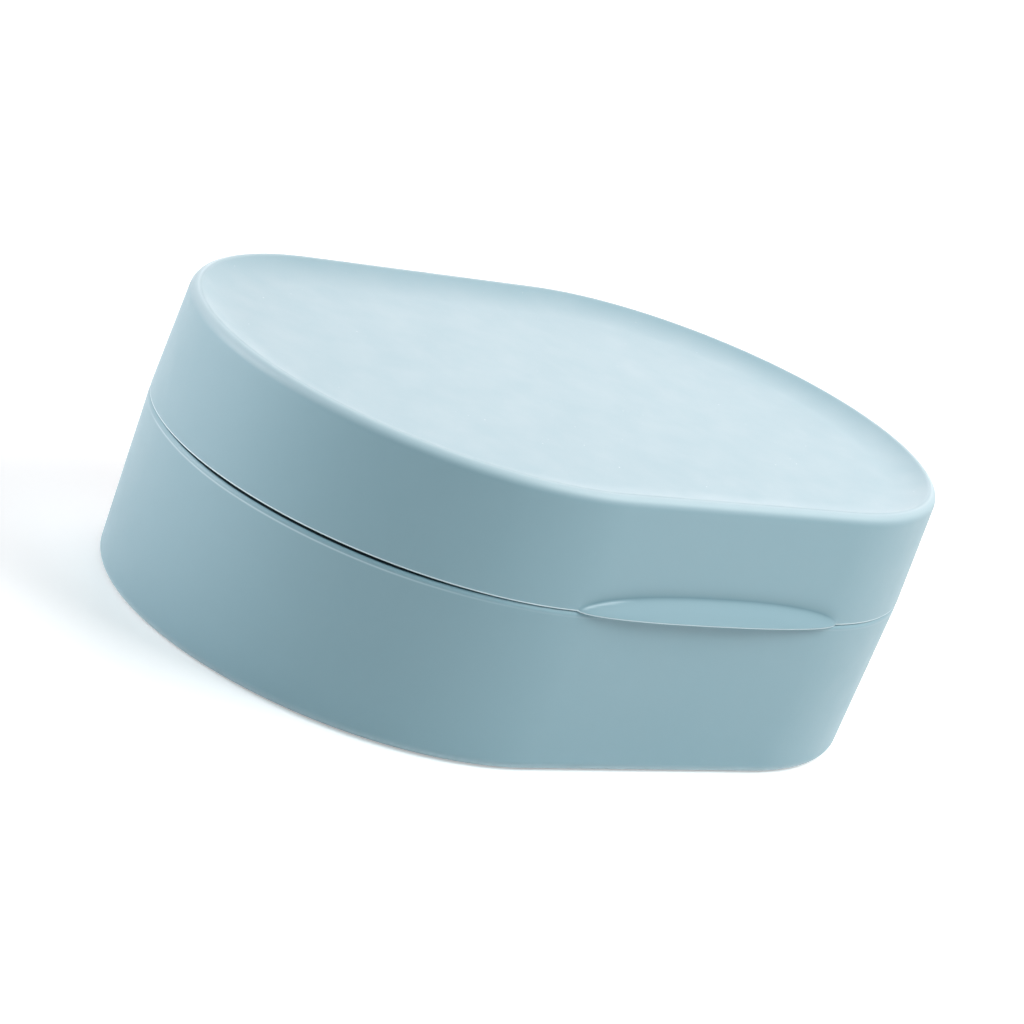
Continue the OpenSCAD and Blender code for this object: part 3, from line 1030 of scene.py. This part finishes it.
def make_floor():
    """Pale floor just under the box. It is clear from below, so the underside can be seen."""
    size = FLOOR_HALF * MM
    mesh = bpy.data.meshes.new("floor")
    low = -FLOOR_GAP * MM
    corners = [(-size, -size, low), (size, -size, low), (size, size, low), (-size, size, low)]
    mesh.from_pydata(corners, [], [(0, 1, 2, 3)])
    floor = bpy.data.objects.new("floor", mesh)
    bpy.context.scene.collection.objects.link(floor)
    material = bpy.data.materials.new("floor")
    material.use_nodes = True
    tree = material.node_tree
    tree.nodes.clear()
    matt = tree.nodes.new("ShaderNodeBsdfDiffuse")
    matt.inputs["Color"].default_value = (FLOOR_TONE, FLOOR_TONE, FLOOR_TONE, 1)
    glow = tree.nodes.new("ShaderNodeEmission")
    away = tree.nodes.new("ShaderNodeVectorMath")
    away.operation = "LENGTH"
    tree.links.new(tree.nodes.new("ShaderNodeTexCoord").outputs["Object"], away.inputs[0])
    rise = tree.nodes.new("ShaderNodeMapRange")
    tree.links.new(away.outputs["Value"], rise.inputs["Value"])
    rise.inputs["From Min"].default_value, rise.inputs["From Max"].default_value = FAR_FLOOR_M
    rise.inputs["To Min"].default_value = FLOOR_GLOW
    rise.inputs["To Max"].default_value = FAR_GLOW
    level = seen_level(tree, rise.outputs["Result"], FLOOR_SHEEN)
    tree.links.new(level, glow.inputs["Strength"])
    both = tree.nodes.new("ShaderNodeAddShader")
    tree.links.new(matt.outputs[0], both.inputs[0])
    tree.links.new(glow.outputs[0], both.inputs[1])
    clear = tree.nodes.new("ShaderNodeBsdfTransparent")
    side = tree.nodes.new("ShaderNodeMixShader")
    tree.links.new(tree.nodes.new("ShaderNodeNewGeometry").outputs["Backfacing"], side.inputs[0])
    tree.links.new(both.outputs[0], side.inputs[1])
    tree.links.new(clear.outputs[0], side.inputs[2])
    out = tree.nodes.new("ShaderNodeOutputMaterial")
    tree.links.new(side.outputs[0], out.inputs["Surface"])
    floor.data.materials.append(material)


def make_world():
    world = bpy.data.worlds.new("world")
    bpy.context.scene.world = world
    world.use_nodes = True
    tree = world.node_tree
    back = tree.nodes["Background"]
    back.inputs["Color"].default_value = (1, 1, 1, 1)
    tree.links.new(seen_level(tree, 1.0, 1.0), back.inputs["Strength"])


def softbox(name, bearing, height, power, tint):
    """Square lamp aimed at the box. bearing is its angle round the box from the camera, towards
    the right of the picture, and height its angle above the floor, both in degrees."""
    turn, rise = math.radians(CAMERA_AZIMUTH + 180 - bearing), math.radians(height)
    away = Vector((math.sin(turn) * math.cos(rise), math.cos(turn) * math.cos(rise),
                   math.sin(rise)))
    data = bpy.data.lights.new(name, "AREA")
    data.size = SOFTBOX_SIZE * MM
    data.energy = power
    data.color = tint
    lamp = bpy.data.objects.new(name, data)
    bpy.context.scene.collection.objects.link(lamp)
    lamp.location = (away * SOFTBOX_DISTANCE + Vector((0, 0, BOX_H / 2))) * MM
    lamp.rotation_mode = "QUATERNION"
    lamp.rotation_quaternion = away.to_track_quat("Z", "Y")


def make_lights():
    for lamp in SOFTBOXES:
        softbox(*lamp)


set_camera()
make_floor()
make_world()
make_lights()

shell_plastic = moulded_plastic("shell_plastic", SHELL_TONES, dust_and_painted_light=0.8)
tray_plastic = moulded_plastic("tray_plastic", TRAY_TONES, rough=0.5)
pin_steel = drawn_steel()

dress(base_shell(), shell_plastic, "shell_plastic", "base", "base_shell")
dress(lid_shell(), shell_plastic, "shell_plastic", "lid", "lid_shell")
dress(seal_ring(), silicone(), "seal_silicone", "lid", "seal_ring")
dress(drain_tray(), tray_plastic, "tray_plastic", "tray", "drain_tray")
dress(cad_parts["hinge_pin"], pin_steel, "pin_steel", "base")

bpy.context.scene.view_settings.view_transform = "Standard"
